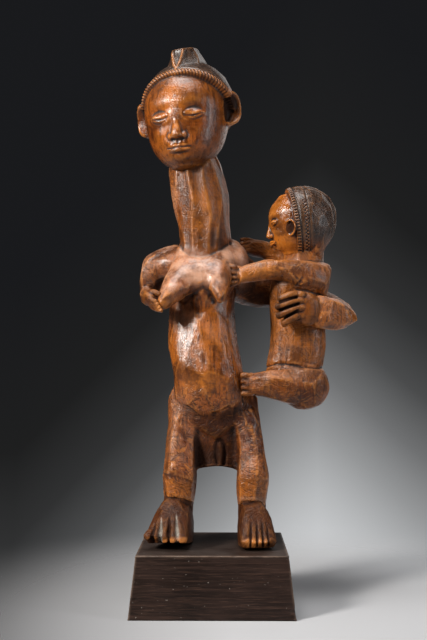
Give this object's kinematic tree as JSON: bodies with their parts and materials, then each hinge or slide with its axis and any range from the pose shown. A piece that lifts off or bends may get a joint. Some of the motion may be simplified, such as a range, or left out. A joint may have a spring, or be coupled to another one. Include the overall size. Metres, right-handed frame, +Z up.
{
  "type": "carved maternity figure",
  "caption": "Carved wooden standing mother with a crest of hair, who holds a child on her hip, on a tapered dark wooden plinth.",
  "frame": {"origin": "centre of the plinth's underside", "axes": "+Z up; -Y is the way the mother's chest faces; +X is her left, the side of the child"},
  "size_m": [0.2247, 0.1364, 0.5623],
  "materials": {
    "carved_wood": "hand-rubbed, glossy brown patina",
    "plinth_wood": "very dark wood with fine open pores, satin"
  },
  "bodies": {
    "root": {"maternity_figure": "carved_wood", "plinth": "plinth_wood"}
  },
  "joints": []
}
